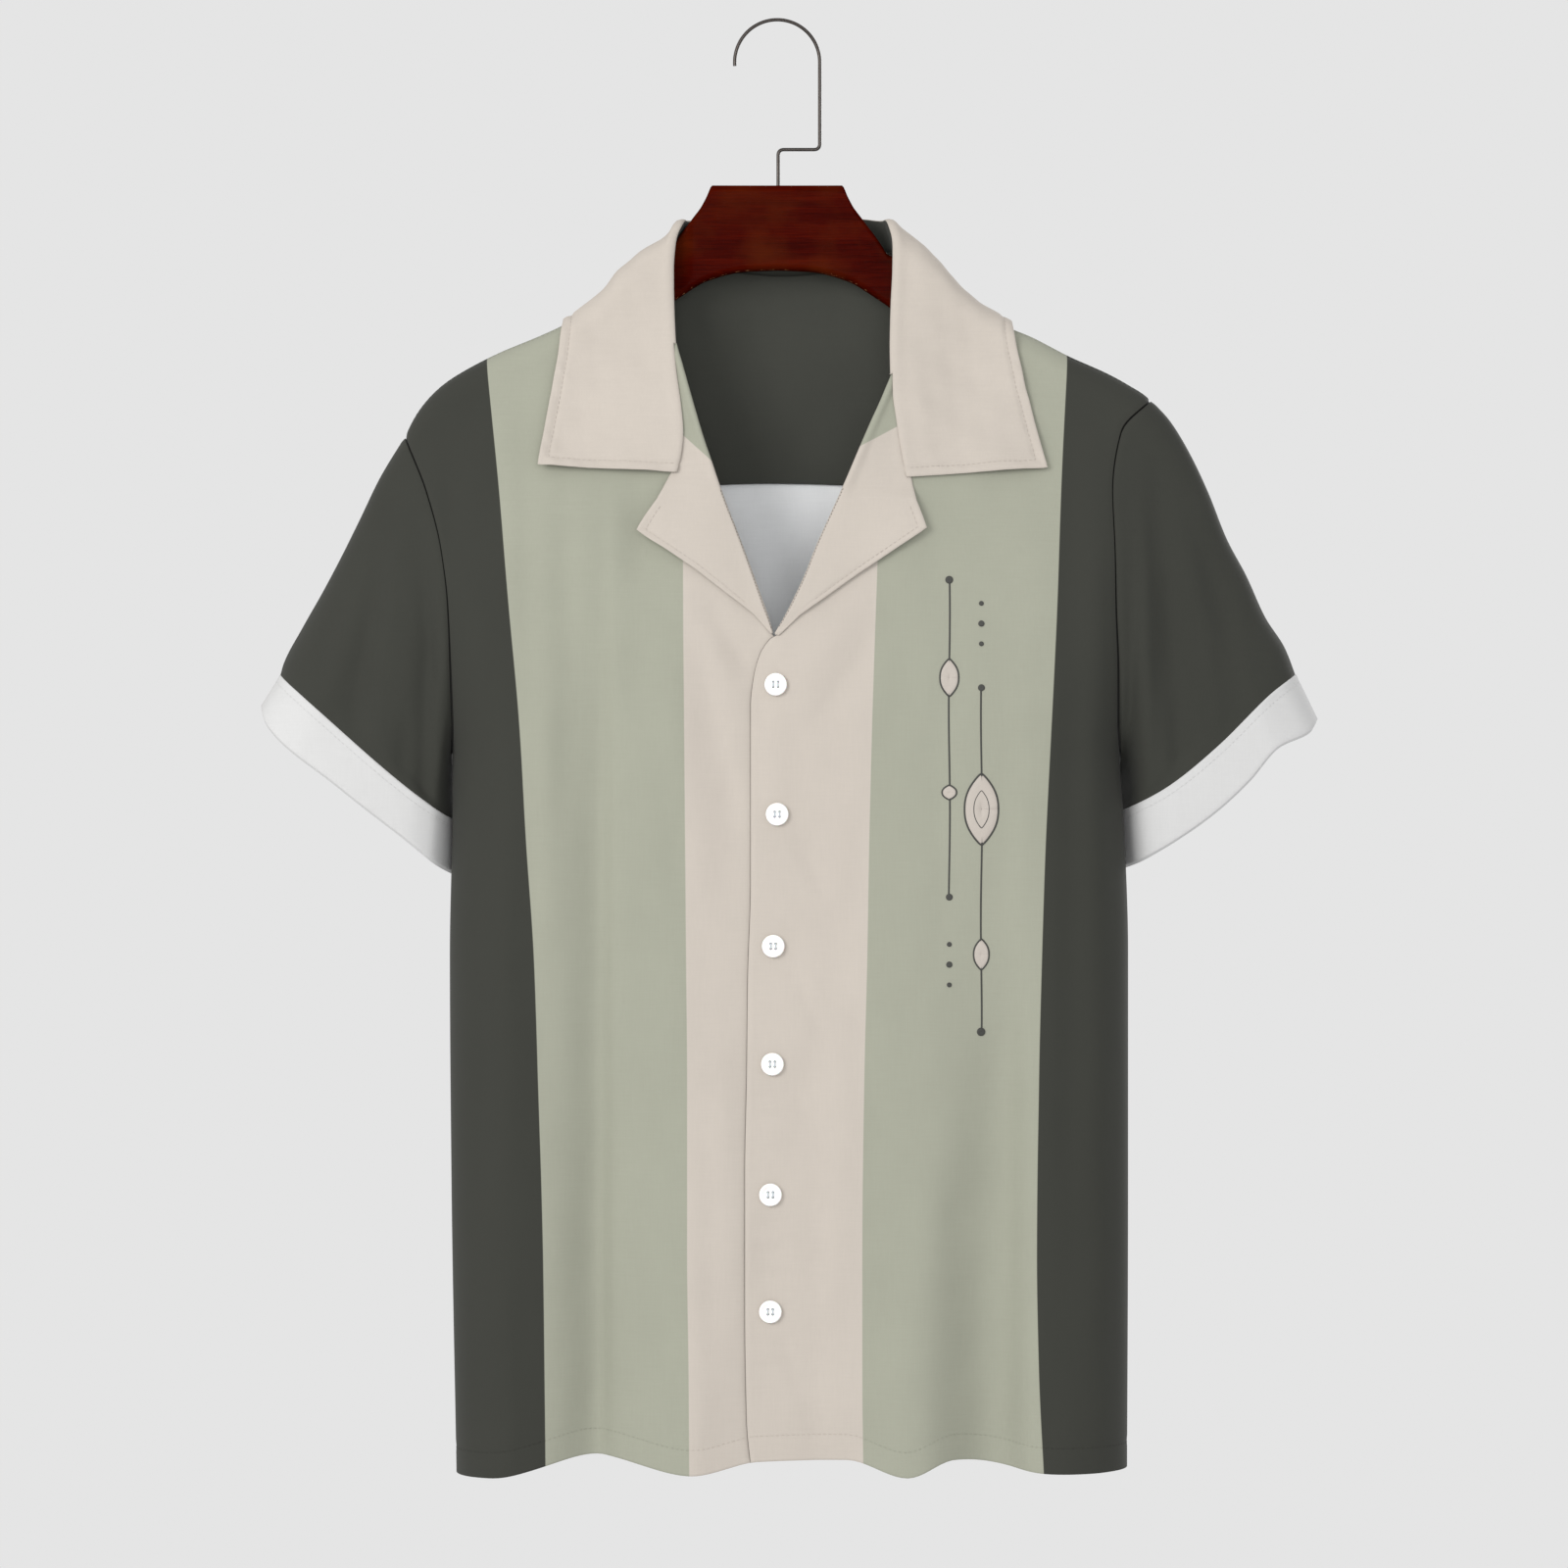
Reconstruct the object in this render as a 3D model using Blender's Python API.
"""A short-sleeved camp-collar shirt hanging on a wooden hanger.

Sizes are in millimetres and become metres when a mesh is made.  The origin is the
inside top of the hook's bend, where a rod carries the hanger.  +Z is up, the front of
the shirt faces -Y and the wearer's right is at -X.

The body is a height field over the front view: how far the cloth stands in front of or
behind the shoulder line depends on the drop below that line and on the distance from
the side.  Each cut piece is a wall laid over its own patch of that surface.
"""
import math

import bmesh
import bpy
import numpy as np
from mathutils import Vector

MM = 0.001
FRONT, BACK = -1, 1
LEFT_OF_VIEW, RIGHT_OF_VIEW = -1, 1

# Driving sizes
CLOTH = 1.2                # wall of fronts, back, yoke and sleeves
LAPEL_CLOTH = 1.2
COLLAR_CLOTH = 1.2
CUFF_CLOTH = 1.5
FACING_CLOTH = 1.0
SEAM = 0.3                 # gap between pieces that are sewn together
CUFF_SEAM = 0.6            # measured along the cuff, which leaves the sleeve at a slant
HEM_HEIGHT = -870.0
UNDERARM_HEIGHT = -440.0
SIDE_ROUND = 50.0          # how far in from the side the cloth rounds over
FRONT_FALL, BACK_FALL = 95.0, 90.0   # drop in which the cloth reaches its full depth
FALL_POWER = 1.6
SHOULDER_BOW = 10.0        # shoulder tips lie this far forward of the neck
BOW_REACH = 210.0
MIDDLE_CROWN = 0.10        # share by which the sides are shallower than the middle
NECK_MIDDLE, NECK_HALF, NECK_RISE = 1.5, 68.0, 60.0
HUMP_POWER = 1.2           # below 2 gives the neck a fuller oval
NECK_DIP = 7.0             # back neckline below its ends
ROLL_INSET = 2.8           # a front's own edge lies this far inside the rolled edge
NECK_INSET = 2.2           # the same beside the collar stand
ROLL_STARTS = (-374, -368) # heights between which the edge goes over into the roll
NECK_STARTS = (-200, -170) # and between which it goes over into the neckline
LEAF_LEVEL = 2.8           # top of collar and lapel above the panel they lie on
ROLL_RADIUS = 1.9
FOLD_RADIUS = 2.1
UNDERLAP_TUCK = 2.0        # the lower front lies this far in under the upper one
TUCK_SPREAD = (-75, -18)   # and comes out to its full depth over this width
CUFF_MIDDLE = -9.0         # depth of the cuffs' middle, the same as the sides'
SLEEVE_EASE = (-.12, 1.0, .6)  # where a sleeve starts to turn to the cuff's depth, and
                           # where it is there, at its outer edge and at the underarm


def table(names, *rows):
    """A small table of sizes with named columns."""
    return dict(zip(names.split(), (list(column) for column in zip(*rows))))


# Side outline of the body and its depth, from hem to shoulder
BODY = table("height left right front back",
             (-873, -192.5, 210.0, 46, 42),
             (-700, -195.5, 210.6, 48, 42),
             (-560, -196.5, 210.6, 50, 41),
             (-480, -195.0, 208.0, 50, 40),
             (-440, -194.8, 205.5, 50, 40),
             (-425, -198.0, 208.0, 50, 40),
             (-400, -206.0, 214.0, 50, 40),
             (-350, -226.0, 231.0, 50, 39),
             (-300, -245.0, 246.0, 48, 38),
             (-250, -262.0, 260.0, 45, 36),
             (-130, -280.0, 280.0, 40, 32))

# Shoulder line from tip to tip, across the neck
SHOULDER = table("x height",
                 (-226, -262), (-223, -250), (-214, -233), (-202, -220), (-190.6, -212),
                 (-167, -199.5), (-143.4, -189.5), (-128.6, -182.5), (-105, -167.5),
                 (-85, -151), (-67, -136), (70, -138), (88, -152), (110, -168),
                 (140, -184.5), (152, -189.5), (175, -201.5), (199, -212.5),
                 (210.6, -219), (223.6, -228), (228, -236))
SHOULDER_ROUND = table("distance radius", (60, 11.5), (140, 15.0), (215, 19.0))

# Armholes from underarm to shoulder tip, in the front view
ARMHOLE = {
    (LEFT_OF_VIEW, FRONT): table("x height", (-194.8, -440), (-194.6, -436.5), (-193.6, -424),
                                 (-194, -389), (-195.1, -354), (-199.2, -319), (-208.5, -284),
                                 (-216.5, -264), (-223, -250)),
    (LEFT_OF_VIEW, BACK): table("x height", (-194.8, -440), (-194.6, -436), (-191, -424),
                                (-189.5, -389), (-190.5, -354), (-195.5, -319),
                                (-205.5, -284), (-215, -264), (-223, -250)),
    (RIGHT_OF_VIEW, FRONT): table("x height", (205.5, -440), (203.6, -424), (202.7, -389),
                                  (201, -354), (200.4, -319), (199.2, -284),
                                  (204.5, -248.7), (223.6, -228)),
    (RIGHT_OF_VIEW, BACK): table("x height", (205.5, -440), (202.6, -424), (199.5, -389),
                                 (197.5, -354), (197, -319), (197.2, -284),
                                 (203.5, -248.7), (223.6, -228)),
}

# Front edge of each front: the fastened edge, then the edge rolled out as a lapel
UNDER_EDGE = table("height x",
                   (-873, 16), (-430, 17), (-419, 16.8), (-395, 8), (-369, -1.7),
                   (-345, -10.2), (-320, -19.1), (-282, -33.6), (-253.4, -43.4),
                   (-225, -52), (-195.4, -60.2), (-170, -63.5), (-150, -66), (-136, -67))
TOP_EDGE = table("height x",
                 (-873, -14.4), (-835, -18), (-770, -19), (-690, -19), (-630, -17.9),
                 (-575, -17.3), (-517, -15.6), (-412.7, -15.6), (-395.4, -13.8),
                 (-382.7, -10.4), (-373.4, -4.6), (-369.4, 0), (-343.3, 12.8),
                 (-311.3, 26.1), (-282.3, 38.9), (-241.8, 56.2), (-218, 66.7),
                 (-195, 69), (-165, 70.5), (-138, 70))

# Hem of the fronts and of the back
FRONT_HEM = table("x height",
                  (-192.6, -871.3), (-170, -870.6), (-108, -858), (-50, -868.5),
                  (-10, -860.7), (42, -859.5), (77, -869.4), (106, -860.2),
                  (164, -867.4), (209, -867.8))
BACK_HEM = table("x height",
                 (-192.6, -871.3), (-120, -862), (-40, -869), (50, -861), (130, -869),
                 (209, -867.8))

# Folds that hang from the chest: place, width, where they start, depth at the hem (+ in)
FOLDS = {
    FRONT: table("x width start depth",
                 (-110, 24, -430, 14), (-52, 28, -500, -8), (74, 26, -560, -8),
                 (112, 22, -520, 12), (-170, 28, -480, -4), (165, 30, -480, -5)),
    BACK: table("x width start depth",
                (-120, 30, -460, 10), (-40, 30, -520, -8), (50, 30, -480, 9),
                (130, 30, -540, -8)),
}

# Rows of a panel above the underarm: share of the armhole and of the front edge
ROWS = table("armhole edge",
             (0, 0), (.05, .083), (.12, .165), (.21, .2338), (.32, .33), (.44, .434),
             (.56, .54), (.67, .64), (.77, .735), (.85, .81), (.91, .885),
             (.95, .945), (.98, .98), (.995, .995), (1, 1))
YOKE_ROW = 9               # the row that carries the yoke seam
ROWS_BELOW = 9
SIDE_SHARES = (0, .0095, .038, .086, .152)    # columns crowd where the side rounds over
FRONT_STEPS = 11
YOKE_STEPS = 5
YOKE_CROWD = 1.25          # crowds the yoke's rows towards the shoulder
YOKE_NECK_SHARES = (.346, .661)
NECK_SHARES = (.045, .13, .25, .375, .5, .625, .75, .87, .955, 1)

# Collar, from the tip at the front over the shoulder: fold line, outer edge, and how
# far the leaf keeps off the body at the fold
COLLAR = {
    LEFT_OF_VIEW: table("fold_x fold_z edge_x edge_z stand",
                        (-59.7, -273.4, -141.8, -269.5, 0), (-57.4, -263, -140, -258.5, 0),
                        (-56.2, -250.2, -137.6, -245, 0), (-57.6, -232.8, -135, -230, 0),
                        (-60.2, -214, -132.5, -215, 0), (-60.3, -195.4, -130.6, -203, .2),
                        (-61.3, -178, -129.6, -194, .4), (-61.8, -160, -128.9, -188, .6),
                        (-61.6, -143, -128.6, -184.3, .8), (-60.2, -129, -128.5, -181.8, .95),
                        (-58.4, -121.5, -128.5, -180.2, 1), (-57, -118, -128.4, -179.5, 1)),
    RIGHT_OF_VIEW: table("fold_x fold_z edge_x edge_z stand",
                         (76.9, -276.3, 160.5, -270.7, 0), (74.8, -264.7, 157, -258.5, 0),
                         (72.8, -253, 153.5, -245, 0), (70.8, -239, 150.4, -232, 0),
                         (69.4, -229, 147.7, -222, 0), (67.3, -214, 145.9, -212, .2),
                         (67.2, -196.8, 143.3, -200.5, .4), (67.9, -172.5, 141.7, -192, .6),
                         (69, -147.9, 141, -187.4, .8), (68.8, -131.5, 140.6, -184.2, .95),
                         (67.3, -122, 140.5, -182.3, 1), (66, -118, 140.4, -181.4, 1)),
}
FREE_STATIONS = 5          # stations of the leaf in front of the stand
COLLAR_TOP = table("x height",
                   (-145, -186), (-128.6, -179.2), (-119.8, -173.5), (-108, -164.4),
                   (-96.2, -151.5), (-84.4, -140), (-72.6, -131), (-60.8, -122),
                   (-57, -118), (66, -118), (69, -119.8), (80.8, -128), (92.6, -139.8),
                   (104.4, -152.2), (116.2, -163.6), (128, -172.8), (140.4, -181.2),
                   (155, -187))
COLLAR_MIDDLE, COLLAR_HALF, COLLAR_RISE = 4.5, 61.5, 80.0
COLLAR_EDGE_MIDDLE, COLLAR_EDGE_HALF = 6.0, 134.4
COLLAR_BACK_TOP = 2.5
COLLAR_BACK = table("fold edge edge_z",
                    (.975, .993, -180.4), (.93, .975, -182.4), (.83, .92, -184.6),
                    (.70, .81, -187),
                    (.54, .64, -188.6), (.36, .43, -189.6), (.18, .21, -190), (0, 0, -190))
LEAF_SHARES = (1, .87, .7, .5, .3, .12)
FOLD_SHARES = (.1, .55, 1)

# Lapels: rolled edge and outer edge, from the collar down
LAPEL = {
    LEFT_OF_VIEW: table("roll_x roll_z edge_x edge_z",
                        (-56.7, -207, -60, -206.2), (-55, -213, -58.4, -212.6),
                        (-50, -231, -56.4, -232), (-43.4, -253.4, -55.6, -252),
                        (-39.8, -264, -56.7, -263.3), (-36, -275.5, -59.4, -274.4),
                        (-31, -290, -70.5, -290),
                        (-25, -305.5, -82.8, -308.4), (-20, -318.5, -66, -319),
                        (-14.5, -333, -48, -331.5), (-9, -348, -30.7, -344.9),
                        (-4.5, -361, -12, -358)),
    RIGHT_OF_VIEW: table("roll_x roll_z edge_x edge_z",
                         (64.4, -223, 67.9, -224), (61.5, -230, 69, -233),
                         (56.2, -241.8, 70.7, -247), (49, -258.5, 73.2, -260),
                         (42.5, -274, 76.5, -277), (36, -289, 82, -291),
                         (29.5, -303.5, 88.1, -307.2), (23, -318, 70, -319.5),
                         (16.5, -334.5, 49, -333.5), (10, -348.5, 30, -347),
                         (3.6, -361.5, 12.8, -361.7)),
}
LAPEL_ROLL = (-70, -25, 20, 90)
LAPEL_SHARES = (.33, .66, 1)

# Inner yoke
FACING_EDGE_HEIGHT = -278.0
FACING_ENDS = (-165.0, 168.0)
FACING_LEVEL = -2.2
FACING_ROWS = 3            # rows of the yoke that it follows up from the seam
FACING_NECK = (92, 62)     # it reaches up to the neckline inside this distance
FACING_SHOULDER_RISE = .15 # and only this share of a row further on the shoulders

# Sleeves: outer edge from the shoulder tip, hidden inner edge from the underarm, cuff
SLEEVE_OUTER = {
    LEFT_OF_VIEW: table("x height", (-223, -250), (-237.8, -274.4), (-249.6, -298.5),
                        (-261.4, -322), (-273.2, -344), (-285, -364.6), (-296.8, -387),
                        (-299, -395)),
    RIGHT_OF_VIEW: table("x height", (223.6, -228), (234.2, -239.5), (246, -258.4),
                         (257.8, -282.6), (269.6, -311.5), (281.4, -333.3),
                         (293.2, -358.7), (305, -377), (312, -394.7)),
}
SLEEVE_INNER = {
    LEFT_OF_VIEW: table("x height", (-194.8, -439.6), (-196.2, -441.2), (-195.7, -446),
                        (-194, -455), (-191.5, -465), (-189, -476), (-186, -487)),
    RIGHT_OF_VIEW: table("x height", (205.5, -439.6), (207, -441.2), (206.9, -446),
                         (206, -452), (204.6, -461), (203, -470), (200, -481)),
}
CUFF_TOP = {
    LEFT_OF_VIEW: table("x height", (-299, -395), (-290, -403), (-196, -481.5),
                        (-186, -487)),
    RIGHT_OF_VIEW: table("x height", (312, -394.7), (299, -404), (293, -409),
                         (263.5, -438), (234, -462), (212, -474.5), (200, -481)),
}
CUFF_BOTTOM = {
    LEFT_OF_VIEW: table("x height", (-309.8, -413), (-306.3, -421.8), (-261.4, -460.8),
                        (-226, -488.5), (-194.7, -512.5), (-186, -517)),
    RIGHT_OF_VIEW: table("x height", (324.5, -420.6), (319.8, -427), (299, -437),
                         (281.4, -457), (263.5, -473.8), (240, -491), (210.5, -508),
                         (201, -512)),
}
# Section of a cuff from its outer end to its inner end: depth of front and back layer
CUFF_SECTION = table("share front back",
                     (0, 4, 4), (.03, -6, 11), (.1, -15, 18), (.25, -22, 23),
                     (.5, -22, 27), (.7, -16, 30), (.82, -6, 33), (.9, 11, 36),
                     (.95, 20, 36), (1, 29, 29))
SLEEVE_RINGS = (0, .06, .16, .3, .45, .6, .75, .88, 1)
CUFF_RINGS = (0, .5, 1)

# Buttons
BUTTON_PLACES = table("x height", (-0.5, -400), (0, -476.9), (-2.3, -555), (-2.8, -624.9),
                      (-4, -702.3), (-4, -771.7))
BUTTON_RADIUS, BUTTON_HEIGHT = 6.75, 2.4
BUTTON_SIDES = 16
BUTTON_PROFILE = table("radius height", (5.6, 0), (6.75, .9), (6.6, 1.9), (5.7, 2.4),
                       (4.6, 2.1), (4.1, 1.4))
BUTTON_HOLE_RADIUS, BUTTON_HOLE_PITCH, BUTTON_HOLE_SIDES = .75, 1.45, 6

# Hanger
HANGER_TOP = table("x height", (0, -99.1), (39, -99.1), (42.5, -106), (46, -112.5),
                   (50, -117.8), (55, -124.5), (61, -132.5), (66, -140.5))
HANGER_BOTTOM = table("x height", (0, -149.6), (20, -150.5), (42, -156), (61, -167.5),
                      (90, -188), (130, -212), (170, -230), (200, -243), (212, -247))
HANGER_THICK = table("x half gap", (0, 6.5, 2.6), (48, 6.5, 2.6), (66, 5, 2.6),
                     (85, 6, 2.6), (110, 8.5, 1.5), (150, 10.5, 1.3), (192, 12, 1.3),
                     (203, 10.5, 1.3), (207, 8, 1.5))
HANGER_STATIONS = (0, 20, 38, 40.5, 43, 46, 50, 55, 60, 66, 72, 80, 90, 106, 124, 142, 160,
                   176, 190, 200, 205, 207)
HANGER_EDGE = 2.2
HANGER_TOP_SHARES = (-1, -.75, -.4, 0, .4, .75, 1)
HANGER_TOP_FLAT = .7

# Hook, along its centre line
WIRE_RADIUS = 1.2
BEND_RADIUS, BEND_CENTRE = 25.6, -24.4
HOOK_TIP_ANGLE = 185.0
HOOK_LEG_BOTTOM, HOOK_CORNER = -77.0, 3.5
HOOK_SHANK_X = 0.6
WOOD_TOP = -99.1
HOOK_SINK = 12.0
HOLE_CLEARANCE = 0.3

COLOURS = {
    "dark": (.061, .063, .054), "sage": (.41, .42, .34), "cream": (.64, .57, .51),
    "white": (.76, .76, .75), "button": (.93, .92, .88), "mahogany": (.048, .006, .004),
    "steel": (.45, .42, .40),
}


# ---------------------------------------------------------------- curves and tables

def smooth_curve(knots, values):
    """A cubic through a table's points that never overshoots them."""
    knots = np.asarray(knots, float)
    values = np.asarray(values, float)
    steps = np.diff(knots)
    slopes = np.diff(values) / steps
    tangents = np.empty_like(values)
    tangents[0], tangents[-1] = slopes[0], slopes[-1]
    for i in range(1, len(values) - 1):
        before, after = slopes[i - 1], slopes[i]
        tangents[i] = 2 * before * after / (before + after) if before * after > 0 else 0.0

    def at(place):
        place = min(max(place, knots[0]), knots[-1])
        i = min(int(np.searchsorted(knots, place, side="right")) - 1, len(steps) - 1)
        t = (place - knots[i]) / steps[i]
        before = values[i] * (1 + 2 * t) + tangents[i] * steps[i] * t
        after = values[i + 1] * (3 - 2 * t) + tangents[i + 1] * steps[i] * (t - 1)
        return float(before * (1 - t) ** 2 + after * t * t)
    return at


def column_curve(rows, knot, value):
    return smooth_curve(rows[knot], rows[value])


def path(rows):
    """A smooth path through a table of x and height, by share of its length."""
    x, z = np.asarray(rows["x"], float), np.asarray(rows["height"], float)
    lengths = np.concatenate([[0], np.cumsum(np.hypot(np.diff(x), np.diff(z)))])
    along_x = smooth_curve(lengths / lengths[-1], x)
    along_z = smooth_curve(lengths / lengths[-1], z)
    return lambda share: np.array([along_x(share), along_z(share)])


def smoothstep(value, low, high):
    t = min(max((value - low) / (high - low), 0.0), 1.0)
    return t * t * (3 - 2 * t)


def mix(a, b, share):
    return a + (b - a) * share


def arch(share):
    """Quarter of a circle: 0 at 0 with an upright start, 1 from 1 on."""
    share = min(max(share, 0.0), 1.0)
    return math.sqrt(1 - (1 - share) ** 2)


def unit(vector):
    return vector / np.linalg.norm(vector)


# ---------------------------------------------------------------- the body's surface

left_side = column_curve(BODY, "height", "left")
right_side = column_curve(BODY, "height", "right")
full_depth = {FRONT: column_curve(BODY, "height", "front"),
              BACK: column_curve(BODY, "height", "back")}
fall = {FRONT: FRONT_FALL, BACK: BACK_FALL}
shoulder_height = column_curve(SHOULDER, "x", "height")
shoulder_radius = column_curve(SHOULDER_ROUND, "distance", "radius")
collar_top_height = column_curve(COLLAR_TOP, "x", "height")
under_edge = column_curve(UNDER_EDGE, "height", "x")
top_edge = column_curve(TOP_EDGE, "height", "x")
hem_height = {FRONT: column_curve(FRONT_HEM, "x", "height"),
              BACK: column_curve(BACK_HEM, "x", "height")}


def hump(x, middle, half, rise):
    """A smooth rise over the neck, gone at its ends."""
    if abs(x - middle) >= half:
        return 0.0
    return rise * math.cos(math.pi * (x - middle) / (2 * half)) ** HUMP_POWER


def shoulder_line(x):
    return shoulder_height(x) + hump(x, NECK_MIDDLE, NECK_HALF, NECK_RISE)


def collar_line(x):
    return collar_top_height(x) + hump(x, COLLAR_MIDDLE, COLLAR_HALF, COLLAR_RISE)


def bow(x):
    return -SHOULDER_BOW * (x / BOW_REACH) ** 2


def swell(x, z, drop, side):
    """How much deeper than the rounded shoulder the cloth lies at a drop."""
    deep = full_depth[side](z) - shoulder_radius(abs(x))
    return deep * (1 - math.exp(-(max(drop, 0.0) / fall[side]) ** FALL_POWER))


def side_turn(x, z):
    """From 0 at the side to 1 where the cloth lies flat."""
    edge = min(x - left_side(z), right_side(z) - x)
    return arch(edge / SIDE_ROUND) * (1 - MIDDLE_CROWN * (x / BOW_REACH) ** 2)


def fold_depth(x, z, side):
    """How far the hanging folds press the cloth in."""
    edge = min(x - left_side(z), right_side(z) - x)
    depth = 0.0
    for place, width, start, full in zip(*(FOLDS[side][name] for name in
                                           ("x", "width", "start", "depth"))):
        reach = min(max((start - z) / (start - HEM_HEIGHT), 0.0), 1.0)
        depth += full * reach ** 1.3 * math.exp(-((x - place) / width) ** 2)
    return depth * arch(edge / (SIDE_ROUND / 2))


def body_depth(x, z, side):
    radius = shoulder_radius(abs(x))
    drop = shoulder_line(x) - z
    plain = (radius * arch(drop / radius) + swell(x, z, drop, side)) * side_turn(x, z)
    return max(plain - fold_depth(x, z, side), 0.0)


def tuck(x):
    """How far the lower front is tucked in under the upper one."""
    return UNDERLAP_TUCK * smoothstep(x, *TUCK_SPREAD)


def body_point(x, z, side, inward=0.0):
    return np.array([x, bow(x) + side * (SEAM / 2 + body_depth(x, z, side) - inward), z])


def front_normal(x, z, inward=lambda x: 0.0):
    """Outward direction of the front at a place away from its edges."""
    h = 0.6
    across = (body_point(x + h, z, FRONT, inward(x + h))
              - body_point(x - h, z, FRONT, inward(x - h)))
    along = body_point(x, z + h, FRONT, inward(x)) - body_point(x, z - h, FRONT, inward(x))
    return unit(np.cross(across, along))


# ---------------------------------------------------------------- walls and objects

def material(name, roughness=0.8, metallic=0.0):
    made = bpy.data.materials.get(name)
    if made is None:
        made = bpy.data.materials.new(name)
        made.use_nodes = True
        shader = made.node_tree.nodes["Principled BSDF"]
        shader.inputs["Base Color"].default_value = (*COLOURS[name], 1)
        shader.inputs["Roughness"].default_value = roughness
        shader.inputs["Metallic"].default_value = metallic
    return made


def add_object(name, points, faces, finish):
    """A named object from points in millimetres."""
    mesh = bpy.data.meshes.new(name)
    mesh.from_pydata([tuple(point * MM) for point in points], [], faces)
    mesh.materials.append(finish)
    mesh.shade_smooth()
    mesh.set_sharp_from_angle(angle=math.radians(40))
    made = bpy.data.objects.new(name, mesh)
    bpy.context.scene.collection.objects.link(made)
    return made


def grid_faces(rows, columns, closed=False):
    faces = []
    for row in range(rows - 1):
        for column in range(columns if closed else columns - 1):
            after = (column + 1) % columns
            faces.append((row * columns + column, row * columns + after,
                          (row + 1) * columns + after, (row + 1) * columns + column))
    return faces


def split(points, faces):
    """Triangles of quads, each cut along its shorter diagonal."""
    triangles = []
    for a, b, c, d in faces:
        if np.linalg.norm(points[a] - points[c]) <= np.linalg.norm(points[b] - points[d]):
            triangles += [(a, b, c), (a, c, d)]
        else:
            triangles += [(a, b, d), (b, c, d)]
    return triangles


def vertex_normals(points, triangles):
    normals = np.zeros_like(points)
    for a, b, c in triangles:
        face = np.cross(points[b] - points[a], points[c] - points[a])
        for corner in (a, b, c):
            normals[corner] += face
    return normals / np.linalg.norm(normals, axis=1)[:, None]


def facing(points, faces, probe, direction):
    """The faces, turned over if the probed one looks away from the direction."""
    a, b, c, d = faces[probe]
    face = np.cross(points[c] - points[a], points[d] - points[b])
    if np.dot(face, direction) < 0:
        return [tuple(reversed(quad)) for quad in faces]
    return faces


def add_wall(name, points, faces, thickness, finish, normals=None):
    """A closed wall whose outer side is the given surface."""
    triangles = split(points, faces)
    if normals is None:
        normals = vertex_normals(points, triangles)
    inner = points - normals * thickness
    count = len(points)
    solid = list(triangles)
    solid += [(c + count, b + count, a + count) for a, b, c in triangles]
    edges = {}
    for a, b, c in triangles:
        for edge in ((a, b), (b, c), (c, a)):
            edges[edge] = True
    for a, b in edges:
        if (b, a) not in edges:
            solid += [(b, a, a + count), (b, a + count, b + count)]
    return add_object(name, np.vstack([points, inner]), solid, finish)


# ---------------------------------------------------------------- fronts, back and yoke

def own_edge(edge, z, hand):
    """A front's own edge: inside the rolled edge where there is one."""
    rolled = mix(ROLL_INSET, NECK_INSET, smoothstep(z, *NECK_STARTS))
    return edge(z) + hand * rolled * smoothstep(z, *ROLL_STARTS)


def neck_corner(x):
    """The shoulder point at a front's own edge."""
    return np.array([x, shoulder_line(x)])


def front_grid(hand):
    """Places of one front in the front view: rows from hem to shoulder, columns from
    the side to the front edge."""
    edge = under_edge if hand == LEFT_OF_VIEW else top_edge
    side = left_side if hand == LEFT_OF_VIEW else right_side
    armhole = path(ARMHOLE[hand, FRONT])
    last = SIDE_SHARES[-1]
    shares = list(SIDE_SHARES)
    shares += [mix(last, 1, (i + 1) / FRONT_STEPS) for i in range(FRONT_STEPS)]
    rows = []
    for row in range(ROWS_BELOW):
        up = row / ROWS_BELOW
        places = []
        for share in shares:
            level = mix(HEM_HEIGHT, UNDERARM_HEIGHT, up)
            x = mix(side(level), own_edge(edge, level, hand), share)
            z = mix(hem_height[FRONT](x), UNDERARM_HEIGHT, up)
            places.append((mix(side(z), own_edge(edge, z, hand), share), z))
        rows.append(places)
    neck_z = UNDER_EDGE["height"][-1] if hand == LEFT_OF_VIEW else TOP_EDGE["height"][-1]
    corner = neck_corner(own_edge(edge, neck_z, hand))
    tip = armhole(1)
    for on_armhole, on_edge in zip(ROWS["armhole"], ROWS["edge"]):
        outer = armhole(on_armhole)
        height = mix(UNDERARM_HEIGHT, corner[1], on_edge)
        inner = np.array([own_edge(edge, height, hand), height])
        if on_edge == 1:
            inner = corner
        places = []
        for share in shares:
            x, z = mix(outer, inner, share)
            crest_x = mix(tip[0], corner[0], share)
            straight = mix(tip[1], corner[1], share)
            bend = shoulder_line(crest_x) - straight if 0 < share < 1 else 0.0
            places.append((x, z + bend * on_armhole ** 3))
        rows.append(places)
    return rows


def back_shares():
    """Column shares of the back; two of them end at the neck's corners."""
    near = [share / 2 for share in SIDE_SHARES]
    low, high = YOKE_NECK_SHARES
    left = near + [mix(near[-1], low, (i + 1) / YOKE_STEPS) for i in range(YOKE_STEPS)]
    middle = [mix(low, high, share) for share in NECK_SHARES]
    right = [mix(high, 1 - near[-1], (i + 1) / YOKE_STEPS) for i in range(YOKE_STEPS)]
    return left + middle + right + [1 - share for share in reversed(near[:-1])]


def neckline(x):
    """The seam between back yoke and collar stand."""
    low, high = UNDER_EDGE["x"][-1], TOP_EDGE["x"][-1]
    along = min(max((x - low) / (high - low), 0.0), 1.0)
    ends = mix(UNDER_EDGE["height"][-1], TOP_EDGE["height"][-1], along)
    return ends - NECK_DIP * math.sin(math.pi * along) ** 2


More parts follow.
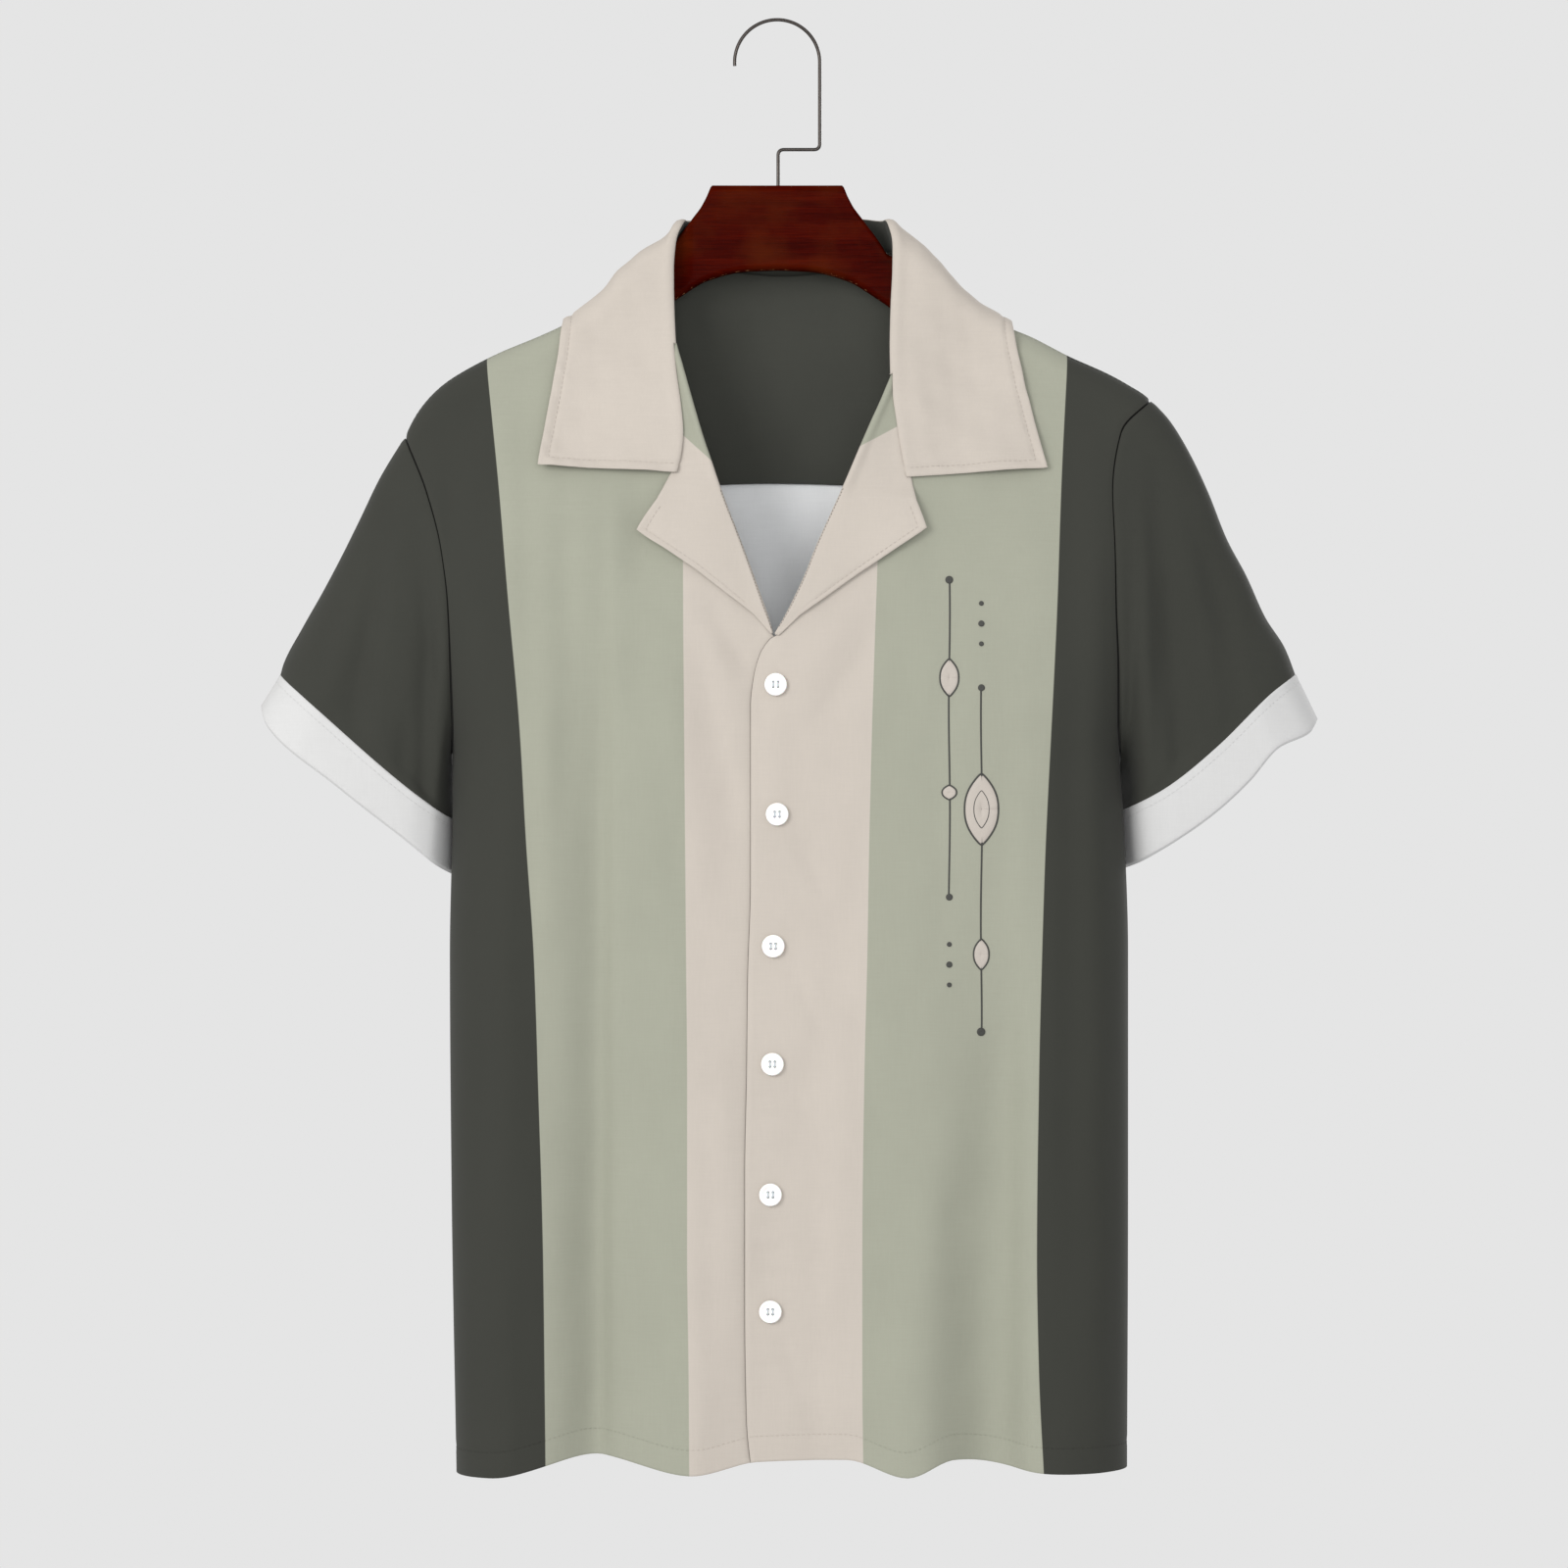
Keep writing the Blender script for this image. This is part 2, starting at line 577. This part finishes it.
def yoke_top(share, left, right):
    """The yoke's upper edge: shoulder, neckline, shoulder."""
    low, high = YOKE_NECK_SHARES
    corners = (UNDER_EDGE["x"][-1] - NECK_INSET, TOP_EDGE["x"][-1] + NECK_INSET)
    x = np.interp(share, (0, low, high, 1), (left[0], *corners, right[0]))
    if low < share < high:
        inset = mix(SEAM + .2, NECK_INSET, smoothstep(abs(x - NECK_MIDDLE), 15, 45))
        return np.array([x, neckline(x) - inset])
    return np.array([x, shoulder_line(x)])


def back_grid():
    """Places of the back and yoke together: rows from hem to shoulder, columns across."""
    armholes = [path(ARMHOLE[hand, BACK]) for hand in (LEFT_OF_VIEW, RIGHT_OF_VIEW)]
    shares = back_shares()
    rows = []
    for row in range(ROWS_BELOW):
        up = row / ROWS_BELOW
        places = []
        for share in shares:
            level = mix(HEM_HEIGHT, UNDERARM_HEIGHT, up)
            x = mix(left_side(level), right_side(level), share)
            z = mix(hem_height[BACK](x), UNDERARM_HEIGHT, up)
            places.append((mix(left_side(z), right_side(z), share), z))
        rows.append(places)
    seam_share = ROWS["armhole"][YOKE_ROW]
    tips = [armhole(1) for armhole in armholes]
    seam = [armhole(seam_share) for armhole in armholes]
    for on_armhole in ROWS["armhole"]:
        left, right = (armhole(on_armhole) for armhole in armholes)
        places = []
        for share in shares:
            straight = mix(left, right, share)
            if on_armhole > seam_share:
                up = (on_armhole - seam_share) / (1 - seam_share)
                high = 1 - (1 - up) ** YOKE_CROWD
                bottom = mix(*seam, share)
                top = yoke_top(share, *tips)
                ends = mix(left, right, share) - mix(mix(*seam, share), mix(*tips, share), up)
                straight = mix(bottom, top, high if 0 < share < 1 else up) + ends
            places.append(tuple(straight))
        rows.append(places)
    return rows


def body_points(rows, side, inward=lambda x: 0.0):
    return np.array([body_point(x, z, side, inward(x)) for row in rows for x, z in row])


def level_normals(normals, indices):
    """Makes the listed normals lie in the plane between front and back."""
    for index in indices:
        normals[index][1] = 0.0
        normals[index] = unit(normals[index])


def add_front(hand, name, finish):
    rows = front_grid(hand)
    inward = tuck if hand == LEFT_OF_VIEW else (lambda x: 0.0)
    points = body_points(rows, FRONT, inward)
    columns = len(rows[0])
    faces = facing(points, grid_faces(len(rows), columns), len(rows[0]) // 2, (0, FRONT, 0))
    normals = vertex_normals(points, split(points, faces))
    seam_rows = range(ROWS_BELOW + 1)
    last_row = range((len(rows) - 1) * columns, len(rows) * columns)
    level_normals(normals, [row * columns for row in seam_rows] + list(last_row))
    add_wall(name, points, faces, CLOTH, finish, normals)
    return points.reshape(len(rows), columns, 3), normals.reshape(len(rows), columns, 3)


def add_back(finish):
    """Back and yoke, one grid cut along the yoke seam."""
    rows = back_grid()
    points = body_points(rows, BACK)
    columns = len(rows[0])
    faces = facing(points, grid_faces(len(rows), columns), columns // 2, (0, BACK, 0))
    normals = vertex_normals(points, split(points, faces))
    seam_row = ROWS_BELOW + YOKE_ROW
    level = [row * columns for row in range(ROWS_BELOW + 1)]
    level += [row * columns + columns - 1 for row in range(ROWS_BELOW + 1)]
    last = (len(rows) - 1) * columns
    level += [last + i for i, (x, z) in enumerate(rows[-1])
              if abs(z - shoulder_line(x)) < 1e-6]
    level_normals(normals, level)
    cut = seam_row * columns
    lower = points[:cut + columns].copy()
    upper = points[cut:].copy()
    step_down = unit_rows(points[cut - columns:cut] - points[cut:cut + columns])
    lower[cut:] += step_down * SEAM / 2
    upper[:columns] -= step_down * SEAM / 2
    turned = faces[0] != grid_faces(len(rows), columns)[0]
    for name, part, part_normals in (("back", lower, normals[:cut + columns]),
                                     ("yoke", upper, normals[cut:])):
        part_faces = grid_faces(len(part) // columns, columns)
        if turned:
            part_faces = [tuple(reversed(face)) for face in part_faces]
        add_wall(name, part, part_faces, CLOTH, finish, part_normals)
    return points.reshape(len(rows), columns, 3), normals.reshape(len(rows), columns, 3)


def unit_rows(vectors):
    return vectors / np.linalg.norm(vectors, axis=1)[:, None]


def add_facing(points, normals, finish):
    """The inner yoke: rows of the yoke, moved in, down to a level lower edge."""
    seam_row = ROWS_BELOW + YOKE_ROW
    columns = [i for i, x in enumerate(points[seam_row, :, 0])
               if FACING_ENDS[0] <= x <= FACING_ENDS[1]]
    below, seam = points[seam_row - 1, columns], points[seam_row, columns]
    share = (FACING_EDGE_HEIGHT - below[:, 2]) / (seam[:, 2] - below[:, 2])
    bottom = below + (seam - below) * share[:, None]
    rows = [bottom] + [points[seam_row + step, columns] for step in range(FACING_ROWS)]
    row_normals = [normals[seam_row, columns]]
    row_normals += [normals[seam_row + step, columns] for step in range(FACING_ROWS)]
    near_neck = [1 - smoothstep(abs(x - NECK_MIDDLE), *reversed(FACING_NECK))
                 for x in rows[-1][:, 0]]
    rise = mix(FACING_SHOULDER_RISE, 1, np.array(near_neck))[:, None]
    rows.append(mix(rows[-1], points[seam_row + FACING_ROWS, columns], rise))
    row_normals.append(mix(row_normals[-1], normals[seam_row + FACING_ROWS, columns], rise))
    flat = np.vstack(rows) + np.vstack(row_normals) * FACING_LEVEL
    faces = facing(flat, grid_faces(len(rows), len(columns)), len(columns) // 2, (0, BACK, 0))
    add_wall("yoke_facing", flat, faces, FACING_CLOTH, finish)


# ---------------------------------------------------------------- sleeves and cuffs

def ring_shares():
    """Shares across a sleeve, 0 at its outer edge and 1 at the underarm, once round:
    up the front from the underarm, then down the back."""
    front = [1 - share for share in ROWS["armhole"]]
    return [(share, FRONT) for share in front] + [(share, BACK) for share in front[-2:0:-1]]


def cuff_place(curve, section, share, side, shift=0.0):
    x, z = curve(share)
    return np.array([x, CUFF_MIDDLE + section[side](share) + shift, z])


def sleeve_rings(hand, armhole_points):
    """A patch between the armhole, the cuff seam and the sleeve's two edges."""
    outer, inner = path(SLEEVE_OUTER[hand]), path(SLEEVE_INNER[hand])
    cuff = path(CUFF_TOP[hand])
    section = {FRONT: column_curve(CUFF_SECTION, "share", "front"),
               BACK: column_curve(CUFF_SECTION, "share", "back")}
    corners = [outer(0), outer(1), inner(0), inner(1)]
    rings = []
    for along in SLEEVE_RINGS:
        ring = []
        for (share, side), start in zip(ring_shares(), armhole_points):
            end = cuff_place(cuff, section, share, side)
            start_flat = np.array([start[0], start[2]])
            end_flat = np.array([end[0], end[2]])
            edges = mix(outer(along), inner(along), share)
            across = mix(start_flat, end_flat, along)
            bilinear = mix(mix(corners[0], corners[1], along),
                           mix(corners[2], corners[3], along), share)
            x, z = edges + across - bilinear
            turned = mix(SLEEVE_EASE[1], SLEEVE_EASE[2], share ** 4)
            y = mix(start[1], end[1], smoothstep(along, SLEEVE_EASE[0], turned))
            ring.append([x, y, z])
        rings.append(ring)
    return np.array(rings)


def add_sleeve(hand, name, cuff_name, finish, cuff_finish, edge_points, edge_normals):
    rings = sleeve_rings(hand, edge_points)
    outward = unit_rows(rings[1] - rings[0])
    rings[0] = edge_points + outward * (SEAM + SEAM / 6)
    count = rings.shape[1]
    points = rings.reshape(-1, 3)
    faces = grid_faces(len(SLEEVE_RINGS), count, closed=True)
    probe = 3 * count + 7
    faces = facing(points, faces, probe, (0, FRONT, 0))
    normals = vertex_normals(points, split(points, faces))
    for k, (share, side) in enumerate(ring_shares()):
        weight = smoothstep(1 - share, .3, .6)
        normals[k] = unit(mix(normals[k], edge_normals[k], weight))
    add_wall(name, points, faces, CLOTH, finish, normals)

    top, bottom = path(CUFF_TOP[hand]), path(CUFF_BOTTOM[hand])
    section = {FRONT: column_curve(CUFF_SECTION, "share", "front"),
               BACK: column_curve(CUFF_SECTION, "share", "back")}
    first = np.array([cuff_place(top, section, share, side) for share, side in ring_shares()])
    last = np.array([cuff_place(bottom, section, share, side) for share, side in ring_shares()])
    first = first + unit_rows(last - first) * CUFF_SEAM
    cuff_points = np.vstack([mix(first, last, along) for along in CUFF_RINGS])
    cuff_faces = grid_faces(len(CUFF_RINGS), count, closed=True)
    cuff_faces = facing(cuff_points, cuff_faces, 7, (0, FRONT, 0))
    cuff_normals = vertex_normals(cuff_points, split(cuff_points, cuff_faces))
    cuff_normals[:count] = normals[-count:]
    add_wall(cuff_name, cuff_points, cuff_faces, CUFF_CLOTH, cuff_finish, cuff_normals)


# ---------------------------------------------------------------- collar and lapels

def leaf_depth(x, z, side, stand):
    """Depth of the collar's leaf: the body's, moved out, and further out at the fold."""
    radius = shoulder_radius(abs(x)) + LEAF_LEVEL
    drop = collar_line(x) - z
    body_drop = shoulder_line(x) - z
    lift = swell(x, z, mix(body_drop, drop, stand), side)
    return (radius * arch(drop / radius) + lift) * (1 - MIDDLE_CROWN * (x / BOW_REACH) ** 2)


def leaf_point(x, z, side, stand):
    return np.array([x, bow(x) + side * leaf_depth(x, z, side, stand), z])


def leaf_place(fold, edge, share, follow):
    """A place on the leaf: straight across, or keeping its drop below the collar's top."""
    x, z = mix(np.array(fold), np.array(edge), share)
    drop = mix(collar_line(fold[0]) - fold[1], collar_line(edge[0]) - edge[1], share)
    return x, mix(z, collar_line(x) - drop, follow)


def stand_foot(x, z, side):
    """Where the stand meets the neckline seam, level with the inside of the cloth."""
    upright = arch((shoulder_line(x) - z) / shoulder_radius(abs(x)))
    return body_point(x, z, side, CLOTH * upright) - np.array([0, 0, CLOTH * (1 - upright)])


def collar_stations():
    """Leaf and foot of the stand at each station, once round from tip to tip."""
    stations = []
    for hand, edge in ((LEFT_OF_VIEW, under_edge), (RIGHT_OF_VIEW, top_edge)):
        rows = COLLAR[hand]
        corner_z = (UNDER_EDGE if hand == LEFT_OF_VIEW else TOP_EDGE)["height"][-1]
        fold_start = rows["fold_z"][FREE_STATIONS]
        half = []
        for i, (fx, fz, ex, ez, stand) in enumerate(zip(*(rows[name] for name in (
                "fold_x", "fold_z", "edge_x", "edge_z", "stand")))):
            foot = None
            if i >= FREE_STATIONS:
                share = (i - FREE_STATIONS) / (len(rows["fold_x"]) - 1 - FREE_STATIONS)
                z = mix(fold_start, corner_z, 1 - (1 - share) ** 1.5)
                foot = stand_foot(edge(z), z, FRONT)
            half.append(((fx, fz), (ex, ez), FRONT, stand, stand, foot))
        stations.append(half)
    left, right = stations
    back = []
    for hand in (LEFT_OF_VIEW, RIGHT_OF_VIEW):
        foot_half = abs((UNDER_EDGE if hand == LEFT_OF_VIEW else TOP_EDGE)["x"][-1])
        for fold, edge, edge_z in zip(*(COLLAR_BACK[name] for name in ("fold", "edge", "edge_z"))):
            fold_x = COLLAR_MIDDLE + hand * COLLAR_HALF * fold
            fold_z = COLLAR_TOP["height"][8] + COLLAR_BACK_TOP * (1 - fold ** 2)
            edge_x = COLLAR_EDGE_MIDDLE + hand * COLLAR_EDGE_HALF * edge
            foot_x = NECK_MIDDLE + hand * (foot_half - NECK_MIDDLE * hand) * fold
            foot = stand_foot(foot_x, neckline(foot_x), BACK)
            back.append(((fold_x, fold_z), (edge_x, edge_z), BACK, 1, 1, foot))
    count = len(COLLAR_BACK["fold"])
    return left + back[:count] + list(reversed(back[count:2 * count - 1])) + list(reversed(right))


def collar_section(fold, edge, side, stand, follow, foot, along):
    """One station of the collar: leaf from its edge to the fold, fold, stand.  The fold
    turns in the plane square to the direction along it."""
    leaf = []
    for share in LEAF_SHARES:
        x, z = leaf_place(fold, edge, share, follow)
        leaf.append(leaf_point(x, z, side, stand * (1 - share)))
    apex = leaf_point(*fold, side, stand)
    if foot is None:
        return leaf + [apex]
    down_leaf, down_stand = (unit(v - along * np.dot(v, along))
                             for v in (leaf[-1] - apex, foot - apex))
    between = np.dot(down_leaf, down_stand)
    inward = unit(down_stand - down_leaf * between)
    centre = apex + FOLD_RADIUS * (down_leaf + inward)
    turn = []
    for share in FOLD_SHARES:
        angle = share * (math.pi - math.acos(between))
        arm = math.cos(angle) * inward + math.sin(angle) * down_leaf
        turn.append(centre - FOLD_RADIUS * arm)
    return leaf + turn + [mix(turn[-1], foot, .5), foot]


def add_collar(finish):
    stations = collar_stations()
    folds = np.array([leaf_point(*fold, side, stand)
                      for fold, _, side, stand, _, _ in stations])
    along = unit_rows(np.gradient(folds, axis=0))
    sections = [collar_section(*station, step) for station, step in zip(stations, along)]
    starts, points = [], []
    for section in sections:
        starts.append(len(points))
        points += section
    points = np.array(points)
    faces = []
    for i in range(len(sections) - 1):
        shared = min(len(sections[i]), len(sections[i + 1]))
        for j in range(shared - 1):
            a, b = starts[i] + j, starts[i + 1] + j
            faces.append((a, a + 1, b + 1, b))
    faces = facing(points, faces, 2, (0, FRONT, 0))
    add_wall("collar", points, faces, COLLAR_CLOTH, finish)


def lapel_section(roll, edge, away, inward):
    """One station of a lapel: round the rolled edge, then flat out to its edge."""
    steps = []
    for angle in LAPEL_ROLL:
        tilt = math.radians(angle)
        steps.append((roll + away * ROLL_RADIUS * (1 - math.cos(tilt)),
                      LEAF_LEVEL - ROLL_RADIUS * (1 - math.sin(tilt))))
    for share in LAPEL_SHARES:
        steps.append((mix(roll + away * ROLL_RADIUS, edge, share), LEAF_LEVEL))
    points = []
    for (x, z), level in steps:
        points.append(body_point(x, z, FRONT, inward(x)) + front_normal(x, z, inward) * level)
    return points


def add_lapel(hand, name, finish):
    inward = tuck if hand == LEFT_OF_VIEW else (lambda x: 0.0)
    rows = LAPEL[hand]
    rolls = np.array(list(zip(rows["roll_x"], rows["roll_z"])), float)
    edges = np.array(list(zip(rows["edge_x"], rows["edge_z"])), float)
    along = unit_rows(np.gradient(rolls, axis=0))
    away = np.stack([along[:, 1], -along[:, 0]], axis=1)
    away *= np.sign(np.sum(away * (edges - rolls), axis=1))[:, None]
    sections = [lapel_section(*station, inward) for station in zip(rolls, edges, away)]
    points = np.array([point for section in sections for point in section])
    columns = len(sections[0])
    faces = facing(points, grid_faces(len(sections), columns), columns - 2, (0, FRONT, 0))
    add_wall(name, points, faces, LAPEL_CLOTH, finish)


# ---------------------------------------------------------------- buttons

def circle(radius, height, sides, centre=(0.0, 0.0)):
    turn = 2 * math.pi / sides
    return [(centre[0] + radius * math.cos(turn * i), centre[1] + radius * math.sin(turn * i),
             height) for i in range(sides)]


def button_mesh(finish):
    """A four-hole button lying on the plane z = 0."""
    shape = bmesh.new()
    rings = [[shape.verts.new(np.array(p) * MM) for p in circle(radius, height, BUTTON_SIDES)]
             for radius, height in zip(BUTTON_PROFILE["radius"], BUTTON_PROFILE["height"])]
    for low, high in zip(rings, rings[1:]):
        for i in range(BUTTON_SIDES):
            after = (i + 1) % BUTTON_SIDES
            shape.faces.new((low[i], low[after], high[after], high[i]))
    floor, well = BUTTON_PROFILE["height"][0], BUTTON_PROFILE["height"][-1]
    holes = []
    for sign_x in (-1, 1):
        for sign_y in (-1, 1):
            centre = (sign_x * BUTTON_HOLE_PITCH, sign_y * BUTTON_HOLE_PITCH)
            low, high = ([shape.verts.new(np.array(p) * MM) for p in
                          circle(BUTTON_HOLE_RADIUS, height, BUTTON_HOLE_SIDES, centre)]
                         for height in (floor, well))
            for i in range(BUTTON_HOLE_SIDES):
                after = (i + 1) % BUTTON_HOLE_SIDES
                shape.faces.new((low[after], low[i], high[i], high[after]))
            holes.append((low, high))
    for which, ring in ((0, rings[0]), (1, rings[-1])):
        loops = [ring] + [hole[which] for hole in holes]
        edges = []
        for loop in loops:
            for i, corner in enumerate(loop):
                after = loop[(i + 1) % len(loop)]
                edges.append(shape.edges.get((corner, after)) or shape.edges.new((corner, after)))
        bmesh.ops.triangle_fill(shape, edges=edges, use_beauty=True, use_dissolve=False)
    bmesh.ops.recalc_face_normals(shape, faces=shape.faces[:])
    mesh = bpy.data.meshes.new("button")
    shape.to_mesh(mesh)
    shape.free()
    mesh.materials.append(finish)
    mesh.shade_smooth()
    mesh.set_sharp_from_angle(angle=math.radians(35))
    return mesh


def add_buttons(finish):
    mesh = button_mesh(finish)
    for number, (x, z) in enumerate(zip(BUTTON_PLACES["x"], BUTTON_PLACES["height"]), 1):
        normal = front_normal(x, z)
        seat = body_point(x, z, FRONT) + normal * 2 * SEAM
        button = bpy.data.objects.new(f"button_{number}", mesh)
        button.location = seat * MM
        button.rotation_euler = Vector(normal).to_track_quat("Z", "Y").to_euler()
        bpy.context.scene.collection.objects.link(button)


# ---------------------------------------------------------------- hanger and hook

def hanger_section(x):
    """Eight-sided section of the wood: rounded above, small edges below."""
    reach = abs(x)
    bottom = column_curve(HANGER_BOTTOM, "x", "height")(reach)
    half = column_curve(HANGER_THICK, "x", "half")(reach)
    if reach > HANGER_TOP["x"][-1]:
        radius = shoulder_radius(reach)
        gap = CLOTH + column_curve(HANGER_THICK, "x", "gap")(reach)
        wide = radius * side_turn(x, shoulder_line(x)) - gap
        crest = shoulder_line(x) - radius

        def top(y):
            return crest + (radius - gap) * math.sqrt(1 - (y / wide) ** 2)
    else:
        block = column_curve(HANGER_TOP, "x", "height")(reach)

        def top(y):
            past_flat = max(abs(y) / half - HANGER_TOP_FLAT, 0) / (1 - HANGER_TOP_FLAT)
            return block - HANGER_EDGE * past_flat
    upper = [(half * share, top(half * share)) for share in HANGER_TOP_SHARES]
    outline = [(-half, bottom + HANGER_EDGE)] + upper
    outline += [(half, bottom + HANGER_EDGE), (half - HANGER_EDGE, bottom),
                (-half + HANGER_EDGE, bottom)]
    return [(x, bow(x) + y, z) for y, z in outline]


def add_hanger(wood, hole_finish):
    stations = [-x for x in reversed(HANGER_STATIONS[1:])] + list(HANGER_STATIONS)
    sections = [hanger_section(x) for x in stations]
    sides = len(sections[0])
    points = np.array([point for section in sections for point in section])
    faces = grid_faces(len(sections), sides, closed=True)
    last = (len(sections) - 1) * sides
    faces += [tuple(reversed(range(sides))), tuple(range(last, last + sides))]
    hanger = add_object("hanger_wood", points, faces, wood)
    shape = bmesh.new()
    shape.from_mesh(hanger.data)
    bmesh.ops.recalc_face_normals(shape, faces=shape.faces[:])
    shape.to_mesh(hanger.data)
    shape.free()

    radius = WIRE_RADIUS + HOLE_CLEARANCE
    low, high = WOOD_TOP - HOOK_SINK - HOLE_CLEARANCE, WOOD_TOP + 5
    sides = 12
    ring = circle(radius, 0, sides)
    drill_points = np.array([(HOOK_SHANK_X + x, y, z) for z in (low, high) for x, y, _ in ring])
    drill_faces = grid_faces(2, sides, closed=True)
    drill_faces += [tuple(reversed(range(sides))), tuple(range(sides, 2 * sides))]
    drill = add_object("hook_hole_cutter", drill_points, drill_faces, hole_finish)
    drill.hide_render = True
    drill.display_type = "WIRE"
    cut = hanger.modifiers.new("hook hole", "BOOLEAN")
    cut.object = drill
    cut.operation = "DIFFERENCE"


def rounded(points, radius, steps=4):
    """A line through the points with its inner corners rounded."""
    line = [np.array(points[0], float)]
    for before, corner, after in zip(points, points[1:], points[2:]):
        corner = np.array(corner, float)
        start = corner + unit(np.array(before, float) - corner) * radius
        end = corner + unit(np.array(after, float) - corner) * radius
        for i in range(steps + 1):
            t = i / steps
            line.append((1 - t) ** 2 * start + 2 * t * (1 - t) * corner + t * t * end)
    line.append(np.array(points[-1], float))
    return line


def add_hook(finish):
    """Round wire: bend over the rod, leg down, step across, shank into the wood."""
    line = []
    steps = 22
    for i in range(steps + 1):
        angle = math.radians(mix(HOOK_TIP_ANGLE, 0, i / steps))
        line.append(np.array([BEND_RADIUS * math.cos(angle), 0,
                              BEND_CENTRE + BEND_RADIUS * math.sin(angle)]))
    line += rounded([(BEND_RADIUS, 0, BEND_CENTRE - 4), (BEND_RADIUS, 0, HOOK_LEG_BOTTOM),
                     (HOOK_SHANK_X, 0, HOOK_LEG_BOTTOM),
                     (HOOK_SHANK_X, 0, WOOD_TOP - HOOK_SINK)], HOOK_CORNER)
    curve = bpy.data.curves.new("hanger_hook", "CURVE")
    curve.dimensions = "3D"
    curve.bevel_depth = WIRE_RADIUS * MM
    curve.bevel_resolution = 2
    curve.use_fill_caps = True
    spline = curve.splines.new("POLY")
    spline.points.add(len(line) - 1)
    for point, place in zip(spline.points, line):
        point.co = (*(place * MM), 1)
    curve.materials.append(finish)
    hook = bpy.data.objects.new("hanger_hook", curve)
    bpy.context.scene.collection.objects.link(hook)


# ---------------------------------------------------------------- the whole shirt

def sleeve_edge(front, back, hand):
    """Points and normals round an armhole, from the edges of front, back and yoke."""
    column = 0 if hand == LEFT_OF_VIEW else -1
    upper = slice(ROWS_BELOW, None)
    rings = []
    for index in (0, 1):
        fronts = front[index][upper, 0]
        backs = back[index][upper, column]
        rings.append(np.vstack([fronts, backs[-2:0:-1]]))
    rings[0][[0, len(ROWS["armhole"]) - 1], 1] += SEAM / 2
    return rings


def main():
    for item in list(bpy.data.objects):
        bpy.data.objects.remove(item, do_unlink=True)
    dark, sage, cream = material("dark"), material("sage"), material("cream")
    white = material("white")
    fronts = {LEFT_OF_VIEW: add_front(LEFT_OF_VIEW, "front_right", sage),
              RIGHT_OF_VIEW: add_front(RIGHT_OF_VIEW, "front_left", sage)}
    back = add_back(dark)
    add_facing(*back, dark)
    for hand, wearer in ((LEFT_OF_VIEW, "right"), (RIGHT_OF_VIEW, "left")):
        edge_points, edge_normals = sleeve_edge(fronts[hand], back, hand)
        add_sleeve(hand, f"sleeve_{wearer}", f"cuff_{wearer}", dark, white,
                   edge_points, edge_normals)
        add_lapel(hand, f"lapel_{wearer}", cream)
    add_collar(cream)
    add_buttons(material("button", 0.3))
    add_hanger(material("mahogany", 0.25), dark)
    add_hook(material("steel", 0.25, 1.0))


main()
